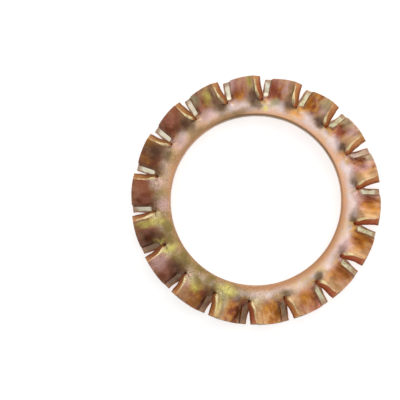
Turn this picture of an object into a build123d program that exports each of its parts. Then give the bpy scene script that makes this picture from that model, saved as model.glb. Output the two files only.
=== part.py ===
from build123d import *
import os
from math import cos, radians, sin, tan

# External-tooth lock washer for an M16 screw, in millimetres and degrees.
# The axis of the bore is Z and the origin is at mid-thickness. The blank is a flat ring of spring steel, with
# its rim lanced into teeth. Each tooth is twisted about its own radius, so that its clockwise edge, seen from
# +Z, stands up and its counter-clockwise edge hangs down: the corners bite when a screw with a right-hand
# thread starts to loosen.

# Blank
outer_diameter = 25.5
bore_diameter = 17.4
thickness = 1.2
bore_edge_bevel = 0.25

# Ring, measured outwards from the wall of the bore
flat_ring_width = 1.2
ring_width = 1.5

# Teeth. The twist grows fast up to the neck, which lies this far outside the flat ring, and slowly from there to
# the rim.
tooth_count = 18
neck_twist = 32.0
rim_twist = 39.0
neck_distance = 1.3
lanced_gap = 0.06
tooth_edge_bevel = 0.1
root_overlap = 0.4
root_sink = 0.15
root_shoulder = 0.02

# Bevel that takes the point off the highest and the lowest corner of each tooth
corner_bevel_width = 0.2
corner_bevel_height = 0.6

# Flat land that the twisting punch coins into the face of a tooth, along the edge that it pushes away. The punch
# is nearly level, so the land is a step in the sloping face.
land_width = 0.5
land_length = 1.9
land_depth = 0.1
land_tilt = 12.0
land_corner_bevel = 0.25

outer_radius = outer_diameter / 2
bore_radius = bore_diameter / 2
half_thickness = thickness / 2
half_pitch = 180 / tooth_count
root_radius = bore_radius + ring_width
flat_radius = bore_radius + flat_ring_width
neck_radius = flat_radius + neck_distance

# A sector is built on sections that stand square to the radius of its tooth, at these distances from the axis
flat_station = flat_radius * cos(radians(half_pitch))
root_station = root_radius * cos(radians(half_pitch))
buried_station = root_station - root_overlap
neck_station = neck_radius * cos(radians(half_pitch))
past_tip_station = outer_radius + half_thickness


def half_pitch_width(station):
    """Half of the width that a sector has at a station."""
    return station * tan(radians(half_pitch))


def twist_at(station):
    """The twist grows evenly from the flat ring to the neck, and evenly again from the neck to the rim."""
    if station < neck_station:
        return neck_twist * (station - flat_station) / (neck_station - flat_station)
    return neck_twist + (rim_twist - neck_twist) * (station - neck_station) / (outer_radius - neck_station)


def twisted(station, across, up):
    """Where a point of the flat blank goes when its tooth is twisted about the radius."""
    turn = radians(twist_at(station))
    return Vector(station, across * cos(turn) + up * sin(turn), up * cos(turn) - across * sin(turn))


def closed(corners):
    return Wire([Line(start, end) for start, end in zip(corners, corners[1:] + corners[:1])])


def both_faces(upper):
    """Closed section from the line of its upper face: half a turn about the radius gives the lower face."""
    return closed(upper + [Vector(point.X, -point.Y, -point.Z) for point in upper])


def ring_section(station):
    """The ring is whole here, but a sector already slopes with its tooth and is sheared from the next one."""
    border = half_pitch_width(station)
    middle = twisted(station, 0, half_thickness)
    slope = middle.Y / middle.Z
    middle_height = middle.Z + middle.Y * slope
    raised_end = Vector(station, -border, middle_height + border * slope)
    lowered_end = Vector(station, border, middle_height - border * slope)
    return both_faces([raised_end, lowered_end])


def tooth_half_width(station):
    return half_pitch_width(station) - lanced_gap / 2


def tooth_section(station, inset=0):
    """The lanced tooth is a twisted bar with bevelled edges. An inset makes it smaller all round."""
    side = tooth_half_width(station) - inset
    face = half_thickness - inset
    flat = side - tooth_edge_bevel / cos(radians(half_pitch))
    shoulder = face - tooth_edge_bevel
    profile = [(-side, shoulder), (-flat, face), (flat, face), (side, shoulder)]
    return both_faces([twisted(station, across, up) for across, up in profile])


def around_the_axis(sector):
    return [Rot(0, 0, 2 * half_pitch * step) * sector for step in range(tooth_count)]


# Hub: the flat inner ring, with bevelled edges in the bore and one straight side for each sector
hub_outline = RegularPolygon(flat_station, tooth_count, major_radius=False, rotation=half_pitch)
hub = extrude(hub_outline, half_thickness, both=True)
hub -= Cylinder(bore_radius, 2 * thickness)
hub = chamfer(hub.edges().filter_by(GeomType.CIRCLE), bore_edge_bevel)

# Outer part of the ring, where the twist begins
ring_sector = Solid.make_loft([ring_section(flat_station), ring_section(root_station)])

# A tooth is buried in the ring, and there a hair smaller than the ring's edge. It is made too long so far.
root_sections = [tooth_section(buried_station, root_sink), tooth_section(root_station, root_shoulder)]
tooth = Solid.make_loft(root_sections + [tooth_section(neck_station), tooth_section(past_tip_station)], ruled=True)

# The rim was blanked before the twist, so the end of a tooth is a piece of the rim that has turned with it
rim_normal = (0, sin(radians(rim_twist)), cos(radians(rim_twist)))
tooth &= Plane(origin=(0, 0, 0), x_dir=(1, 0, 0), z_dir=rim_normal) * Cylinder(outer_radius, outer_radius)

# Two cones around the washer bevel the outer corners that stand proud
corner_height = -twisted(outer_radius, tooth_half_width(outer_radius), -half_thickness).Z
bevel_slope = corner_bevel_width / corner_bevel_height
cone_radius = outer_radius + (corner_height - corner_bevel_height) * bevel_slope
cone_height = 2 * corner_height
cone_top_radius = cone_radius - cone_height * bevel_slope
bevel_cones = Pos(0, 0, cone_height / 2) * Cone(cone_radius, cone_top_radius, cone_height)
bevel_cones += Pos(0, 0, -cone_height / 2) * Cone(cone_top_radius, cone_radius, cone_height)
tooth &= bevel_cones

# Coined lands: on the upper face along the lowered edge, and on the lower face along the raised edge
land_start = outer_radius - land_length
edge_start = twisted(land_start, tooth_half_width(land_start), half_thickness)
edge_end = twisted(outer_radius, tooth_half_width(outer_radius), half_thickness)
along_edge = (edge_end - edge_start).normalized()
across_land = Vector(0, cos(radians(land_tilt)), -sin(radians(land_tilt)))
punch = Box(land_length + thickness, land_width + thickness, thickness, align=Align.MIN)
inner_corner = punch.edges().filter_by(Axis.Z).group_by(Axis.X)[0].sort_by(Axis.Y)[0]
punch = chamfer(inner_corner, land_corner_bevel)
land_corner = edge_start - across_land * land_width - Vector(0, 0, land_depth)
punch = Plane(origin=land_corner, x_dir=along_edge, z_dir=along_edge.cross(across_land)) * punch
tooth -= punch
tooth -= Rot(180, 0, 0) * punch

lock_washer = Part() + hub + around_the_axis(ring_sector)
lock_washer += around_the_axis(tooth)

os.makedirs("parts", exist_ok=True)
export_step(lock_washer, "parts/lock_washer.step")
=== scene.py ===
import math
import random

import bpy
from mathutils import Matrix, Vector, noise


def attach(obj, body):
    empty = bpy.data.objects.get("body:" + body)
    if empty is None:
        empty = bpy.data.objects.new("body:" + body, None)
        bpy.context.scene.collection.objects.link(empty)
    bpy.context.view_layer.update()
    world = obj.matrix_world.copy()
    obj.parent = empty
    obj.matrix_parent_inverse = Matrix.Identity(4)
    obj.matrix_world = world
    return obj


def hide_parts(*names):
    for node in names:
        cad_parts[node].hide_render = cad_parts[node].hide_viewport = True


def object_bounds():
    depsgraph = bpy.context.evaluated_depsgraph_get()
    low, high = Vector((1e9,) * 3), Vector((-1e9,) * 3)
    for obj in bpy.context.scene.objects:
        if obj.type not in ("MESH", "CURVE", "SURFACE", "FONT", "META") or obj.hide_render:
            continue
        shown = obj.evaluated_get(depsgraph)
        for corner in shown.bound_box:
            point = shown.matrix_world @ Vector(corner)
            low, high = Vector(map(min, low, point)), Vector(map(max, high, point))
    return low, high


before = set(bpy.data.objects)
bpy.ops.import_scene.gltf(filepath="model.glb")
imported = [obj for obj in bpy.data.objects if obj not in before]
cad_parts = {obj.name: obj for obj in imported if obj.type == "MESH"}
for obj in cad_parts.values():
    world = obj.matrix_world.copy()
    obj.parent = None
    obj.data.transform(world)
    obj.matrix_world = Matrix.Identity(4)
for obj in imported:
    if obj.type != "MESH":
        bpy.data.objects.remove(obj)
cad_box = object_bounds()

# ---- Lock washer -----------------------------------------------------------------------------------------
# One piece of spring steel, 1.2 mm thick: blanked as a flat ring, its rim lanced into 18 teeth, each twisted
# about its own radius and coined along the two edges that the punches push away. Zinc plated and yellow
# chromated after that. It lies loose on the floor, on the lowered corners of its teeth.
MM = 0.001
HAIR = 1e-6                     # places nearer to each other than this are the same place
TEETH = 18
HALF_PITCH = math.radians(180 / TEETH)
BORE, RIM = 8.7 * MM, 12.71 * MM
HALF_THICKNESS = 0.6 * MM
SLOT_ROOT = 10.2 * MM           # radius at which the slot between two teeth begins
LAND_START = 10.7 * MM          # radius at which the coined lands begin
LAND_WALL = 6.6                 # degrees from the middle of a tooth to the wall of a land

bpy.ops.object.select_all(action="DESELECT")
bpy.ops.mesh.primitive_plane_add(size=1, calc_uvs=False)
sector = bpy.context.object
sector.name = "washer"
PLATED, SHEARED, COINED = range(3)
for name in ("plated_steel", "sheared_steel", "coined_steel"):
    sector.data.materials.append(bpy.data.materials.new(name))
bpy.ops.object.mode_set(mode="EDIT")
bpy.ops.mesh.select_mode(type="VERT")


def pick(test):
    """Selects the vertices of the washer whose place passes a test, and goes back to edit mode."""
    bpy.ops.object.mode_set(mode="OBJECT")
    for polygon in sector.data.polygons:
        polygon.select = False
    for edge in sector.data.edges:
        edge.select = False
    for vertex in sector.data.vertices:
        vertex.select = test(vertex.co)
    bpy.ops.object.mode_set(mode="EDIT")


def cut(point, normal):
    """Gives the whole mesh a row of vertices where a plane crosses it."""
    bpy.ops.mesh.select_all(action="SELECT")
    bpy.ops.mesh.bisect(plane_co=point, plane_no=normal)


def plan_radius(point):
    return math.hypot(point.x, point.y)


def plan_angle(point):
    return math.atan2(point.y, point.x)


def on_a_side(point):
    """Whether a place of the untwisted tooth lies on one of its two sheared sides."""
    return abs(plan_angle(point)) > 0.95 * HALF_PITCH


# One sector, flat so far, with its tooth along X. A straight line from the bore to the rim gets its rows and
# is swept into the upper face.
bpy.ops.mesh.select_all(action="DESELECT")
pick(lambda point: point.y > 0)
bpy.ops.mesh.delete(type="VERT")
bpy.ops.mesh.select_all(action="SELECT")
bpy.ops.transform.resize(value=(RIM - BORE, 1, 1))
bpy.ops.transform.translate(value=((RIM + BORE) / 2, 0.5, HALF_THICKNESS))
ring_rows = (9.0, 9.3, 9.6, 9.75, 9.9, 10.05, 10.2)
tooth_rows = (10.3, 10.42, 10.56, 10.7, 10.8, 10.92, 11.2, 11.5, 11.8, 12.1, 12.4, 12.62)
for row in ring_rows + tooth_rows:
    cut((row * MM, 0, 0), (1, 0, 0))
bpy.ops.mesh.select_all(action="SELECT")
bpy.ops.transform.rotate(value=-HALF_PITCH, orient_axis="Z", center_override=(0, 0, 0))
bpy.ops.mesh.spin(steps=10, angle=2 * HALF_PITCH, center=(0, 0, 0), axis=(0, 0, 1))
bpy.ops.mesh.select_all(action="SELECT")
bpy.ops.mesh.remove_doubles(threshold=HAIR)

# The sheet gets its thickness, rows along its sheared faces, and lines for the wall and foot of each land
bpy.ops.mesh.extrude_region_move(TRANSFORM_OT_translate={"value": (0, 0, -2 * HALF_THICKNESS)})
for height in (0.15, -0.15):
    cut((0, 0, height * MM), (0, 0, 1))
for degrees in (-LAND_WALL, 2 - LAND_WALL, LAND_WALL - 2, LAND_WALL):
    across = math.radians(degrees)
    cut((0, 0, 0), (-math.sin(across), math.cos(across), 0))
bpy.ops.mesh.select_all(action="SELECT")
bpy.ops.mesh.normals_make_consistent(inside=False)

# Coined lands, steps that are deeper at the wall than at the edge, with a rounded inner end: on the upper
# face along the lowered side, and on the lower face along the raised side. Each line of a land lies at an
# angle in degrees, goes down by a depth in millimetres, and takes a share of that at the land's inner end.
land_lines = ((6, 0.26, 0.3), (LAND_WALL, 0.38, 0.3), (8, 0.25, 0.7), (10, 0.06, 0.7))
for side in (1, -1):
    for degrees, depth, at_end in land_lines:
        for start, share in ((LAND_START, at_end), (LAND_START + 0.1 * MM, 1 - at_end)):
            pick(lambda point: plan_radius(point) > start - HAIR and side * point.z > 0.2 * MM
                 and abs(side * plan_angle(point) - math.radians(degrees)) < 0.001)
            bpy.ops.transform.translate(value=(0, 0, -side * share * depth * MM))

# The ring is whole inside the slots, so a sector is open there towards the next one
bpy.ops.mesh.select_mode(type="FACE")
bpy.ops.object.mode_set(mode="OBJECT")
for polygon in sector.data.polygons:
    middle = polygon.center
    polygon.select = abs(plan_angle(middle)) > 0.999 * HALF_PITCH and plan_radius(middle) < SLOT_ROOT
bpy.ops.object.mode_set(mode="EDIT")
bpy.ops.mesh.delete(type="FACE")
bpy.ops.mesh.select_mode(type="VERT")

# The sides of a tooth bulge near the root of the slot, where the shears parted them last, and draw back from
# the next tooth towards the rim. Each step moves all that lies outside its radius, in millimetres.
side_steps = ((10.2, -0.05), (10.56, -0.11), (11.2, 0.06), (11.5, 0.06), (11.8, 0.06), (12.1, 0.04))
for side in (1, -1):
    for row, inwards in side_steps:
        pick(lambda point: plan_radius(point) > row * MM + HAIR
             and side * plan_angle(point) > 0.98 * HALF_PITCH)
        bpy.ops.transform.translate(value=(0, -side * inwards * MM, 0))

# The lancing rolled the upper edges of the slots, and the lower ones less
for side, rounding, segments in ((1, 0.2, 4), (-1, 0.1, 2)):
    bpy.ops.mesh.select_mode(type="VERT")
    pick(lambda point: plan_radius(point) > SLOT_ROOT + HAIR and on_a_side(point)
         and side * point.z > 0.45 * MM)
    bpy.ops.mesh.select_mode(type="EDGE")
    bpy.ops.mesh.bevel(offset=rounding * MM, segments=segments, affect="EDGES")
bpy.ops.mesh.select_mode(type="VERT")

# The highest and the lowest corner of a tooth are worn round
for side in (1, -1):
    for row, worn in ((12.5, 0.04), (12.7, 0.08)):
        pick(lambda point: plan_radius(point) > row * MM and side * plan_angle(point) < -0.95 * HALF_PITCH
             and side * point.z > 0.25 * MM)
        bpy.ops.transform.translate(value=(-worn * MM, 0, -side * worn * MM))
bpy.ops.object.mode_set(mode="OBJECT")

# Which faces are the plated strip, which were sheared, and which are coined lands
for polygon in sector.data.polygons:
    middle = polygon.center
    upright = abs(polygon.normal.z) < 0.5
    towards_land = plan_angle(middle) if middle.z > 0 else -plan_angle(middle)
    if upright and (on_a_side(middle) or plan_radius(middle) > 0.99 * RIM):
        polygon.material_index = SHEARED
    elif not upright and plan_radius(middle) > LAND_START and towards_land > math.radians(LAND_WALL - 0.1):
        polygon.material_index = COINED

# Where each face's corners were in the flat strip, for patterns that follow the metal: the way across the
# tooth from -0.5 to 0.5, the radius in millimetres, and the height from -1 to 1. A point between two sectors
# ends one and begins the next, so its faces each keep a value of their own.
strip = sector.data.attributes.new("strip", "FLOAT_VECTOR", "CORNER")
for corner, place in zip(sector.data.loops, strip.data):
    point = sector.data.vertices[corner.vertex_index].co
    across = plan_angle(point) / (2 * HALF_PITCH)
    place.vector = (across, plan_radius(point) / MM, point.z / HALF_THICKNESS)

# The twist. A tooth takes all of it. Where the ring is whole it dies away towards the neighbours.
twisted = sector.vertex_groups.new(name="twisted")
for vertex in sector.data.vertices:
    from_border = 1 - abs(plan_angle(vertex.co)) / HALF_PITCH
    weight = 1 if plan_radius(vertex.co) > SLOT_ROOT + HAIR else max(0, min(1, from_border / 0.4))
    twisted.add([vertex.index], weight * weight * (3 - 2 * weight), "REPLACE")

# It grows slowly in the ring, fast at the root of the tooth, and slowly again to the rim: radii in
# millimetres from which and up to which it grows, and by how many degrees
nearest = BORE * math.cos(HALF_PITCH)
length = RIM - nearest
for start, end, degrees in ((9.4, 10.2, 9), (9.9, 10.95, 23), (10.95, 12.75, 7)):
    pivot = bpy.data.objects.new("pivot", None)
    pivot.location = (start * MM, 0, 0)
    bpy.context.scene.collection.objects.link(pivot)
    twist = sector.modifiers.new("twist", "SIMPLE_DEFORM")
    twist.deform_method = "TWIST"
    twist.deform_axis = "X"
    twist.origin = pivot
    twist.angle = -math.radians(degrees)
    twist.vertex_group = "twisted"
    twist.limits = ((start * MM - nearest) / length, (end * MM - nearest) / length)
    bpy.ops.object.modifier_apply(modifier=twist.name)
    bpy.data.objects.remove(pivot)

# Eighteen sectors, no two teeth twisted by quite the same angle, welded where the ring is whole
chance = random.Random(7)
sectors = [sector]
for step in range(1, TEETH):
    copied = sector.copy()
    copied.data = sector.data.copy()
    bpy.context.scene.collection.objects.link(copied)
    sectors.append(copied)
for step, placed in enumerate(sectors):
    more_twist = Matrix.Rotation(-math.radians(chance.uniform(-1.4, 0.4)), 3, "X")
    for vertex in placed.data.vertices:
        if plan_radius(vertex.co) > SLOT_ROOT + HAIR and vertex.co.x > SLOT_ROOT:
            vertex.co = more_twist @ vertex.co
    placed.data.transform(Matrix.Rotation(step * 2 * HALF_PITCH, 4, "Z"))
    placed.select_set(True)
washer = sector
bpy.context.view_layer.objects.active = washer
bpy.ops.object.join()
bpy.ops.object.mode_set(mode="EDIT")
bpy.ops.mesh.select_all(action="SELECT")
bpy.ops.mesh.remove_doubles(threshold=2 * HAIR)
bpy.ops.mesh.normals_make_consistent(inside=False)

# The punched bore has rounded edges
bpy.ops.mesh.select_mode(type="VERT")
pick(lambda point: plan_radius(point) < BORE + 10 * HAIR and abs(point.z) > 0.98 * HALF_THICKNESS)
bpy.ops.mesh.select_mode(type="EDGE")
bpy.ops.mesh.bevel(offset=0.24 * MM, segments=4, affect="EDGES")
bpy.ops.object.mode_set(mode="OBJECT")

# All other edges are only softened by the plating
softened = washer.modifiers.new("softened", "BEVEL")
softened.limit_method = "ANGLE"
softened.angle_limit = math.radians(24)
softened.width = 0.05 * MM
softened.segments = 1
bpy.ops.object.modifier_apply(modifier=softened.name)

# The tiny face that this makes at the deep corner of a land could take either finish: it is plated strip
strip = washer.data.attributes["strip"].data
for polygon in washer.data.polygons:
    height = strip[polygon.loop_start].vector.z
    if len(polygon.vertices) == 3 and polygon.material_index == COINED and abs(height) < 0.5:
        polygon.material_index = PLATED
smooth = washer.modifiers.new("smooth", "SUBSURF")
smooth.levels = smooth.render_levels = 1
bpy.ops.object.modifier_apply(modifier=smooth.name)

# The teeth came out of the tool a little wavy, their rims and the ring hardly so
wavy_teeth = washer.vertex_groups.new(name="teeth")
for vertex in washer.data.vertices:
    radius = plan_radius(vertex.co)
    share = min(1, (radius - 9.4 * MM) / (1.4 * MM), (12.7 * MM - radius) / (0.5 * MM))
    wavy_teeth.add([vertex.index], max(0.15, share), "REPLACE")
uneven = bpy.data.textures.new("uneven", "CLOUDS")
uneven.noise_scale = 1.1 * MM
uneven.noise_depth = 1
wavy = washer.modifiers.new("wavy", "DISPLACE")
wavy.texture = uneven
wavy.vertex_group = "teeth"
wavy.strength = 0.16 * MM
bpy.ops.object.modifier_apply(modifier=wavy.name)
washer.vertex_groups.clear()
bpy.ops.object.shade_smooth()


def shader(name):
    """A material's node tree and its Principled shader."""
    material = bpy.data.materials.get(name) or bpy.data.materials.new(name)
    material.use_nodes = True
    return material.node_tree, material.node_tree.nodes["Principled BSDF"]


def put(tree, kind, *inputs, **settings):
    """Adds a node. An input is a number, a colour, a vector, an output to link, or None to leave it alone."""
    node = tree.nodes.new("ShaderNode" + kind)
    for name, value in settings.items():
        setattr(node, name, value)
    sockets = [socket for socket in node.inputs if socket.enabled]
    for socket, value in zip(sockets, inputs):
        if isinstance(value, bpy.types.NodeSocket):
            tree.links.new(value, socket)
        elif value is not None:
            socket.default_value = value
    return [socket for socket in node.outputs if socket.enabled][0]


def add(tree, first, second):
    return put(tree, "Math", first, second, operation="ADD")


def times(tree, *shares):
    product = shares[0]
    for share in shares[1:]:
        product = put(tree, "Math", product, share, operation="MULTIPLY")
    return product


def ramp(tree, value, low, high, low_out=0, high_out=1):
    """Smooth step of a value, from low_out under low to high_out over high."""
    return put(tree, "MapRange", value, low, high, low_out, high_out, interpolation_type="SMOOTHSTEP")


def band(tree, value, low, full, full_end, high):
    """1 while a value is between full and full_end, 0 under low and over high, and soft between these."""
    return times(tree, ramp(tree, value, low, full), ramp(tree, value, full_end, high, 1, 0))


def blend(tree, share, first, second, blend_type="MIX"):
    return put(tree, "Mix", share, first, second, data_type="RGBA", blend_type=blend_type)


def colour(red, green, blue):
    """A colour from its display values, 0 to 255."""
    parts = (red, green, blue)
    return [((part / 255 + 0.055) / 1.055) ** 2.4 if part > 10 else part / 3294 for part in parts] + [1]


def clouded(tree, place, scale, detail=2, roughness=0.5):
    return put(tree, "TexNoise", place, scale, detail, roughness)


def shifted(tree, place, by):
    return put(tree, "VectorMath", place, by, operation="ADD")


def washer_places(tree):
    """Place in millimetres, then where the metal was in the flat strip: across, radius and height."""
    place = put(tree, "TexCoord").node.outputs["Object"]
    place = put(tree, "VectorMath", place, 1 / MM, operation="SCALE")
    strip = put(tree, "Attribute", attribute_name="strip").node.outputs["Vector"]
    across, radius, height = put(tree, "SeparateXYZ", strip).node.outputs
    return place, across, radius, height


def towards(tree, place, x, y):
    """How far a place lies in a direction across the washer, in millimetres."""
    return put(tree, "VectorMath", place, (x, y, 0), operation="DOT_PRODUCT")


def tooth_value(tree, place, seed):
    """A value from 0 to 1 that differs from tooth to tooth."""
    x, y, _ = put(tree, "SeparateXYZ", place).node.outputs
    angle = put(tree, "Math", y, x, operation="ARCTAN2")
    turns = put(tree, "Math", angle, 2 * HALF_PITCH, operation="DIVIDE")
    number = put(tree, "Math", add(tree, turns, TEETH + 0.5), operation="FLOOR")
    number = put(tree, "Math", number, TEETH, operation="MODULO")
    return put(tree, "TexWhiteNoise", add(tree, number, seed), noise_dimensions="1D")


# Stains of the chromate on the upper face, with painted light and shade among them: the olive spots are
# painted shade at the roots of the teeth and beside the bore, the dark brown ones are painted shade on the
# teeth, and the rose and lime ones are painted highlights. Each tint has its strength and its soft oval
# spots, and lies over the tints before it. A spot lies at an angle in degrees and a radius in millimetres,
# and has half a length along that radius and half a width across it.
olive_shade, red_brown, rose_highlight = colour(118, 92, 52), colour(164, 78, 52), colour(220, 176, 172)
gold, grey_green = colour(214, 142, 46), colour(166, 162, 124)
brown_shade, lime_highlight = colour(84, 52, 34), colour(216, 206, 98)
stains_and_painted_light = (
    (olive_shade, 0.8, (
        (105, 9.1, 0.5, 1.9), (93, 9.7, 0.7, 0.6), (114, 9.6, 0.7, 0.8), (134, 9.4, 0.6, 1.1),
        (157, 9.9, 0.7, 0.7), (54, 10.2, 0.6, 0.5), (33, 10.2, 0.5, 0.4), (12, 10.1, 0.4, 0.4),
        (351, 10.1, 0.5, 0.5), (291, 9.9, 0.6, 0.7), (312, 10.2, 0.7, 0.6), (333, 10.2, 0.5, 0.5))),
    (red_brown, 0.75, (
        (85, 11.4, 1.3, 0.9), (137.5, 12, 0.9, 1), (176, 11.8, 1.3, 1), (44, 11.1, 0.9, 0.6),
        (3, 11.5, 1.2, 0.5), (297, 11.9, 0.9, 0.6), (267, 11, 0.8, 0.6))),
    (rose_highlight, 0.8, (
        (336, 10.2, 0.8, 1.1), (147, 9.7, 0.9, 1), (123.7, 9.8, 0.7, 1.1), (186, 9.4, 0.9, 0.9),
        (216.4, 11.7, 1.2, 0.9), (231.6, 11.1, 1.5, 0.7), (174, 10.3, 0.9, 0.6), (5, 10.5, 0.9, 0.9),
        (105, 12, 0.9, 0.8), (78, 11.9, 0.8, 0.4), (20, 11.6, 1, 0.6), (38, 11.9, 0.8, 0.6),
        (310, 11.6, 1.2, 0.5), (56, 11.3, 0.8, 0.5))),
    (gold, 0.85, (
        (69, 9.8, 0.6, 1.2), (30, 9.6, 0.6, 0.7), (101.5, 11, 1.1, 0.5), (281, 11.4, 1.3, 1.1),
        (301, 11.2, 1.2, 0.9), (322, 11.4, 1.2, 0.9), (341, 11.7, 1.2, 0.9), (359, 11.9, 0.9, 0.9),
        (64, 11.4, 1, 0.8), (155, 12.2, 0.9, 0.6))),
    (grey_green, 0.8, (
        (43, 12.2, 0.7, 1), (24, 12.3, 0.9, 0.7), (256, 11.2, 1.6, 0.7), (125, 12.1, 0.9, 0.8),
        (57, 12, 0.8, 0.7), (82, 10.2, 0.5, 0.7))),
    (brown_shade, 0.92, (
        (73.5, 11.1, 1.7, 0.6), (93.5, 10.9, 1.9, 0.95), (114, 11.1, 1.9, 1.1), (136, 10.6, 1.3, 1.1),
        (157, 11.5, 1.5, 1.2), (54.4, 10.5, 0.8, 0.55), (34.6, 10.3, 0.6, 0.5), (204, 11.5, 1.6, 1.4),
        (268, 11.9, 1.3, 1), (248, 11.2, 1.5, 0.6), (224, 10.6, 0.9, 1.2))),
    (lime_highlight, 0.75, (
        (87.5, 9.5, 0.5, 0.5), (119, 11.6, 1.1, 0.5), (95.8, 12.1, 0.7, 0.4), (213.5, 10, 1.1, 0.5),
        (207, 10.8, 0.8, 0.35), (196, 11, 1.5, 0.4), (239, 10.7, 0.7, 0.7), (253.5, 11.6, 1.2, 0.5),
        (256, 9.6, 0.6, 1.3))),
)
REACH = 2.5                     # millimetres, more than any spot covers


def spot_share(place, spot):
    """How much a spot covers at a place, from 0 at its border to 1 in its middle."""
    angle, radius, half_length, half_width = spot
    angle = math.radians(angle)
    x, y = place.x - radius * math.cos(angle), place.y - radius * math.sin(angle)
    if abs(x) > REACH or abs(y) > REACH:
        return 0
    along = (x * math.cos(angle) + y * math.sin(angle)) / half_length
    across = (y * math.cos(angle) - x * math.sin(angle)) / half_width
    share = max(0, min(1, (1.3 - math.hypot(along, across)) / 1.2))
    return share * share * (3 - 2 * share)


# Each vertex keeps how much of it is stained or painted with light or shade, and the tint already multiplied
# by that share. The spots get their ragged shape from a noise that moves the places a little.
washer.data.attributes.new("stain_and_light_colour", "FLOAT_VECTOR", "POINT")
washer.data.attributes.new("stain_and_light_share", "FLOAT", "POINT")
strip, stain_and_light_colour, stain_and_light_share = (washer.data.attributes[name].data
                                    for name in ("strip", "stain_and_light_colour", "stain_and_light_share"))
noise.seed_set(7)
heights = [-1] * len(washer.data.vertices)
for corner, place in zip(washer.data.loops, strip):
    heights[corner.vertex_index] = max(heights[corner.vertex_index], place.vector.z)
for number, vertex in enumerate(washer.data.vertices):
    upper = min(1, (heights[number] - 0.2) / 0.5)
    if upper <= 0:
        continue
    place = vertex.co / MM
    place += 0.35 * noise.noise_vector(1.1 * place) + 0.16 * noise.noise_vector(3.2 * place)
    total, covered = Vector((0, 0, 0)), 0
    for tint, strength, spots in stains_and_painted_light:
        share = strength * upper * max(spot_share(place, spot) for spot in spots)
        total = total * (1 - share) + Vector(tint[:3]) * share
        covered += share - covered * share
    stain_and_light_colour[number].vector = total
    stain_and_light_share[number].value = covered

# Plated strip: pale on the flat ring, orange-brown on the stretched teeth, clouded with the yellow and pink
# tones of the chromate, and with painted shade and painted highlights laid over them
tree, surface = shader("plated_steel")
place, across, radius, height = washer_places(tree)
clouds = clouded(tree, place, 0.5, 1)
patches = clouded(tree, shifted(tree, place, (31, 7, 3)), 0.9, 2)
mottle = clouded(tree, place, 1.4, 1.5)
streaks = clouded(tree, place, 4.5, 3, 0.6)
speckle = clouded(tree, place, 7, 2, 0.7)
left = towards(tree, place, -1, 0)
lower_left = towards(tree, place, -0.75, -0.65)
upper_left = towards(tree, place, -0.64, 0.77)
lower_right = towards(tree, place, 0.64, -0.77)
shaded_top = ramp(tree, towards(tree, place, 0.31, 0.95), 4, 7.5)

# Flat ring, with a darker band beside the bore, and painted light and shade over it
ring = blend(tree, ramp(tree, clouds, 0.35, 0.65), colour(214, 184, 172), colour(210, 178, 132))
ring = blend(tree, ramp(tree, patches, 0.45, 0.7, 0, 0.8), ring, colour(212, 198, 200))
# Painted shade: the ring is tan on the left
tan_shaded_side = times(tree, ramp(tree, left, 2, 8), ramp(tree, mottle, 0.25, 0.6, 1, 0.4))
ring = blend(tree, tan_shaded_side, ring, colour(186, 148, 104))
# Painted highlight: pale pink at the root of each tooth, mostly on its lowered side, faint on the lower left
root = times(tree, band(tree, radius, 9.4, 10, 10.4, 10.9), band(tree, across, -0.2, 0.05, 0.25, 0.42))
root = times(tree, root, ramp(tree, lower_left, 2, 7, 0.85, 0.17))
ring = blend(tree, root, ring, colour(226, 202, 196))
inner_edge = add(tree, radius, times(tree, mottle, 0.5))
ring = blend(tree, ramp(tree, inner_edge, 9, 9.95, 0.9, 0), ring, colour(208, 152, 108))
# Painted shade beside the bore: olive on the upper left, orange-brown on the lower right
shade_beside_bore = ramp(tree, ramp(tree, inner_edge, 9.1, 9.9), 0, 1, 0.7, 0)
ring = blend(tree, times(tree, ramp(tree, upper_left, 6.5, 9), shade_beside_bore), ring, colour(128, 100, 58))
ring = blend(tree, times(tree, ramp(tree, lower_right, 2, 8), shade_beside_bore), ring, colour(172, 120, 78))
# Painted shade: the ring is olive on the lower left
olive_shaded_side = times(tree, ramp(tree, lower_left, 5, 8.5), ramp(tree, patches, 0.35, 0.7, 1, 0.45))
ring = blend(tree, olive_shaded_side, ring, colour(134, 114, 58))
golden = times(tree, band(tree, radius, 9.6, 10.2, 10.5, 10.9), ramp(tree, across, 0, 0.3),
               ramp(tree, mottle, 0.35, 0.6, 0, 0.8))
ring = blend(tree, golden, ring, colour(228, 178, 92))

# Teeth
tooth = blend(tree, ramp(tree, mottle, 0.38, 0.62), colour(156, 78, 46), colour(204, 136, 50))
pink = times(tree, ramp(tree, tooth_value(tree, place, 0.5), 0.35, 0.65), ramp(tree, patches, 0.4, 0.56))
tooth = blend(tree, pink, tooth, colour(196, 128, 108))
# Painted highlight: each tooth is paler towards its raised edge
tooth = blend(tree, ramp(tree, across, -0.05, -0.4, 0, 0.8), tooth, colour(216, 172, 122))
rim_patch = times(tree, ramp(tree, radius, 11.5, 12.4), ramp(tree, across, 0, 0.35),
                  ramp(tree, mottle, 0.4, 0.6, 0, 0.8))
tooth = blend(tree, rim_patch, tooth, colour(156, 146, 112))
ridge = add(tree, across, add(tree, times(tree, radius, 0.16), times(tree, streaks, 0.16)))
ridge = times(tree, band(tree, ridge, 2.06, 2.12, 2.12, 2.2),
              ramp(tree, tooth_value(tree, place, 9.5), 0.4, 0.5, 0, 0.6))
tooth = blend(tree, ridge, tooth, colour(116, 64, 38))
# Painted shade: the teeth are darker brown on the left
brown_shaded_side = times(tree, ramp(tree, left, 2, 9), ramp(tree, patches, 0.3, 0.6, 0.9, 0.5))
tooth = blend(tree, brown_shaded_side, tooth, colour(124, 68, 48))

# The two run into each other at the root of a tooth, where the bend has painted shade and a painted highlight
start = add(tree, radius, times(tree, streaks, 0.7))
base = blend(tree, ramp(tree, start, 10.3, 11.2), ring, tooth)
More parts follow.
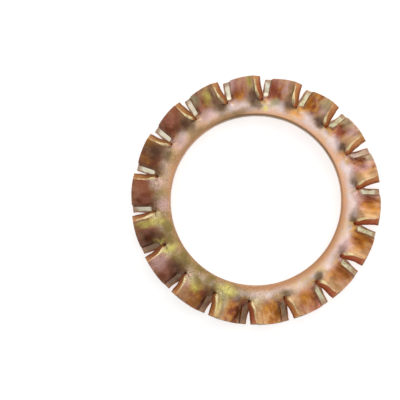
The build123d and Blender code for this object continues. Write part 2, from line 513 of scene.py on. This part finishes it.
# Painted shade: a dark line on each tooth beside the wall of its land
land_wall_shade = times(tree, band(tree, across, 0.19, 0.23, 0.32, 0.33), ramp(tree, radius, 10.45, 10.65),
                  ramp(tree, streaks, 0.3, 0.5, 0.3, 0.8))
base = blend(tree, land_wall_shade, base, colour(124, 66, 44))
# Painted shade at the raised side of each tooth's root, none on the lower left
root_shade_start = add(tree, radius, times(tree, mottle, 0.8))
root_shade = times(tree, ramp(tree, root_shade_start, 10, 10.5), ramp(tree, radius, 10.3, 10.8, 1, 0),
               ramp(tree, across, -0.15, -0.34), ramp(tree, mottle, 0.3, 0.6, 0.4, 1),
               ramp(tree, lower_left, 3, 6, 0.7, 0))
base = blend(tree, root_shade, base, colour(112, 84, 54))
# On the lower left only: a painted highlight on the raised side of the bend and painted shade on its lowered
# side
bend_light_and_shade = times(tree, ramp(tree, lower_left, 3, 7), ramp(tree, height, 0.2, 0.7),
             band(tree, start, 10, 10.6, 10.8, 11.5))
base = blend(tree, times(tree, bend_light_and_shade, ramp(tree, across, -0.12, -0.32, 0, 0.75)), base, colour(216, 200, 150))
base = blend(tree, times(tree, bend_light_and_shade, ramp(tree, across, 0, 0.2, 0, 0.75)), base, colour(108, 74, 46))

# Stains, painted shade and painted highlights, thinner where the washer was rubbed. What is under a spot is
# darkened by its share first.
stain_and_light = put(tree, "Attribute", attribute_name="stain_and_light_colour").node.outputs["Vector"]
share = put(tree, "Attribute", attribute_name="stain_and_light_share").node.outputs["Fac"]
rubbed = ramp(tree, clouded(tree, shifted(tree, place, (5, 11, 0)), 1.3, 1), 0.3, 0.6, 0.7, 1)
base = blend(tree, times(tree, share, rubbed), base, (0, 0, 0, 1))
base = blend(tree, rubbed, base, stain_and_light, "ADD")

# The wall of the bore, the edges of the slots, and the fine grain of the strip
# Painted shade: the wall of the bore is darker towards the top
bore_with_shade = blend(tree, shaded_top, colour(202, 152, 114), colour(126, 98, 66))
base = blend(tree, ramp(tree, radius, 8.78, 8.9, 0.8, 0), base, bore_with_shade)
# Painted highlight: a pale cream line along the rounded raised edge of each slot
torn = add(tree, across, times(tree, mottle, 0.02))
raised_edge_highlight = times(tree, ramp(tree, torn, -0.46, -0.472), ramp(tree, radius, 10.3, 10.8),
                    ramp(tree, mottle, 0.35, 0.55, 0.3, 1))
base = blend(tree, raised_edge_highlight, base, colour(242, 222, 168))
lowered_edge = times(tree, ramp(tree, across, 0.468, 0.48), ramp(tree, radius, 10.2, 10.5, 0, 0.6))
base = blend(tree, lowered_edge, base, colour(186, 104, 80))
grain = times(tree, ramp(tree, speckle, 0.3, 0.6, 1, 0), ramp(tree, lower_left, 0, 8, 0.14, 0.55))
base = blend(tree, grain, base, colour(96, 70, 42))
# Dark and pale streaks along the teeth, fainter on the left
tooth_streaks = put(tree, "CombineXYZ", times(tree, across, 7), times(tree, radius, 0.8),
            tooth_value(tree, place, 5.5))
tooth_streaks = clouded(tree, tooth_streaks, 1, 2, 0.55)
on_tooth = times(tree, ramp(tree, radius, 10.2, 11.2), ramp(tree, left, 2, 8, 1, 0.25))
base = blend(tree, times(tree, on_tooth, ramp(tree, tooth_streaks, 0.35, 0.5, 0.3, 0)), base, colour(106, 62, 42))
base = blend(tree, times(tree, on_tooth, ramp(tree, tooth_streaks, 0.5, 0.65, 0, 0.3)), base, colour(236, 204, 160))
tree.links.new(base, surface.inputs["Base Color"])
surface.inputs["Metallic"].default_value = 0.6
tree.links.new(ramp(tree, mottle, 0.3, 0.7, 0.28, 0.4), surface.inputs["Roughness"])
tree.links.new(put(tree, "Bump", 0.35, 0.02 * MM, None, speckle), surface.inputs["Normal"])

# Sheared sides of the slots: torn metal, red-brown and golden under the chromate
tree, surface = shader("sheared_steel")
place, across, radius, height = washer_places(tree)
tears = put(tree, "CombineXYZ", times(tree, radius, 3), times(tree, height, 0.8), times(tree, across, 10))
tears = clouded(tree, tears, 1.5, 3, 0.6)
number = tooth_value(tree, place, 3.5)
base = blend(tree, number, colour(194, 108, 76), colour(208, 148, 90))
upper_left = ramp(tree, towards(tree, place, -0.85, 0.5), 3, 8.5, 0, 0.8)
base = blend(tree, upper_left, base, colour(196, 142, 84))
foot = ramp(tree, add(tree, height, times(tree, tears, 0.8)), -0.2, 0.4, 0.6, 0)
base = blend(tree, foot, base, colour(132, 62, 42))
base = blend(tree, ramp(tree, tears, 0.55, 0.7, 0, 0.5), base, colour(206, 148, 96))

# The blanked rim is olive, streaked from face to face
streaked = put(tree, "CombineXYZ", times(tree, across, 40), times(tree, height, 0.7), times(tree, number, 30))
streaked = clouded(tree, streaked, 1, 3, 0.6)
rim = blend(tree, ramp(tree, streaked, 0.35, 0.65), colour(84, 70, 46), colour(138, 118, 76))
rim = blend(tree, ramp(tree, clouded(tree, place, 0.7), 0.45, 0.7, 0, 0.7), rim, colour(172, 138, 92))
base = blend(tree, ramp(tree, radius, 12.66, 12.71), base, rim)
tree.links.new(base, surface.inputs["Base Color"])
surface.inputs["Metallic"].default_value = 0.6
surface.inputs["Roughness"].default_value = 0.45
tree.links.new(put(tree, "Bump", 0.5, 0.04 * MM, None, tears), surface.inputs["Normal"])

# Coined lands: flattened smooth, so they are the palest part of a tooth, with a brown border along its edge
tree, surface = shader("coined_steel")
place, across, radius, height = washer_places(tree)
mottle = clouded(tree, place, 1.8, 3, 0.6)
number = tooth_value(tree, place, 7.5)
base = blend(tree, ramp(tree, number, 0.2, 0.5), colour(226, 196, 184), colour(222, 218, 182))
base = blend(tree, ramp(tree, number, 0.7, 0.9), base, colour(212, 208, 194))
base = blend(tree, ramp(tree, mottle, 0.5, 0.65, 0, 0.8), base, colour(188, 170, 128))
# Painted highlight: the lands on the upper left are paler
upper_left = ramp(tree, towards(tree, place, -0.85, 0.5), 2, 8, 0, 0.85)
base = blend(tree, upper_left, base, colour(250, 246, 220))
# Painted shade: the lands on the lower side are darker
lower_side_shade = ramp(tree, towards(tree, place, -0.4, -0.9), 4.5, 8.5, 0, 0.9)
base = blend(tree, lower_side_shade, base, colour(120, 86, 58))
rim_end = ramp(tree, add(tree, radius, times(tree, mottle, 0.8)), 12.4, 12.9, 0, 0.8)
base = blend(tree, rim_end, base, colour(170, 130, 100))
border = ramp(tree, add(tree, across, times(tree, mottle, 0.05)), 0.455, 0.485, 0, 0.85)
base = blend(tree, border, base, colour(150, 98, 66))
tree.links.new(base, surface.inputs["Base Color"])
surface.inputs["Metallic"].default_value = 0.6
surface.inputs["Roughness"].default_value = 0.34
tree.links.new(put(tree, "Bump", 0.3, 0.03 * MM, None, mottle), surface.inputs["Normal"])

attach(washer, "root")
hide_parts("lock_washer")

# ---- Floor -----------------------------------------------------------------------------------------------
# A plain white surface that the lowered corners of the teeth stand on.
bpy.ops.mesh.primitive_plane_add(size=0.6, location=(0, 0, cad_box[0][2]))
floor = bpy.context.object
floor.name = "floor"


def seen(tree):
    """1 for the rays that show the surroundings, straight or through metal and glass, and 0 for light."""
    rays = put(tree, "LightPath").node.outputs
    reflected = put(tree, "Math", rays["Is Glossy Ray"], rays["Is Transmission Ray"], operation="MAXIMUM")
    return put(tree, "Math", rays["Is Camera Ray"], reflected, operation="MAXIMUM")


tree, surface = shader("floor")
surface.inputs["Base Color"].default_value = (0.9, 0.9, 0.9, 1)
surface.inputs["Roughness"].default_value = 0.8
surface.inputs["Specular IOR Level"].default_value = 0.1
surface.inputs["Emission Color"].default_value = (1, 1, 1, 1)
tree.links.new(times(tree, seen(tree), 0.65), surface.inputs["Emission Strength"])
floor.data.materials.append(bpy.data.materials["floor"])

# ---- Light -----------------------------------------------------------------------------------------------
# A large softbox over the washer, lower ones on two sides, and a grey studio around them that shows white.
world = bpy.data.worlds.new("studio")
bpy.context.scene.world = world
world.use_nodes = True
tree = world.node_tree
studio = blend(tree, seen(tree), (0.3, 0.3, 0.3, 1), (1, 1, 1, 1))
tree.links.new(studio, tree.nodes["Background"].inputs["Color"])


def direction(azimuth, elevation):
    """Unit vector towards a place on the sky, from its angles in degrees."""
    azimuth, elevation = math.radians(azimuth), math.radians(elevation)
    level = math.cos(elevation)
    return Vector((level * math.cos(azimuth), level * math.sin(azimuth), math.sin(elevation)))


def softbox(name, azimuth, elevation, distance, size, energy):
    """A square lamp that faces the washer."""
    light = bpy.data.lights.new(name, "AREA")
    light.size = size
    light.energy = energy
    lamp = bpy.data.objects.new(name, light)
    bpy.context.scene.collection.objects.link(lamp)
    away = direction(azimuth, elevation)
    lamp.location = away * distance
    lamp.rotation_euler = away.to_track_quat("Z", "Y").to_euler()


softbox("overhead", 55, 76, 0.4, 0.32, 0.28)
softbox("far", 95, 22, 0.35, 0.25, 0.2)
softbox("right", 5, 18, 0.35, 0.25, 0.16)

# ---- Camera ----------------------------------------------------------------------------------------------
# Almost straight above the washer. The picture is turned a little, and the washer stands right of its middle.
turn = math.radians(3.5)
right = Vector((math.cos(turn), math.sin(turn), 0))
up = Vector((-math.sin(turn), math.cos(turn), 0))
place = 0.1352 * direction(-78.5, 84.6)
target = -0.00568 * right + 0.00004 * up
back = (place - target).normalized()
side = up.cross(back).normalized()
lens = bpy.data.cameras.new("camera")
lens.lens = 119
lens.clip_start = 0.001
camera = bpy.data.objects.new("camera", lens)
camera.matrix_world = Matrix.Translation(place) @ Matrix((side, back.cross(side), back)).transposed().to_4x4()
bpy.context.scene.collection.objects.link(camera)
bpy.context.scene.camera = camera
bpy.context.scene.view_settings.view_transform = "Standard"
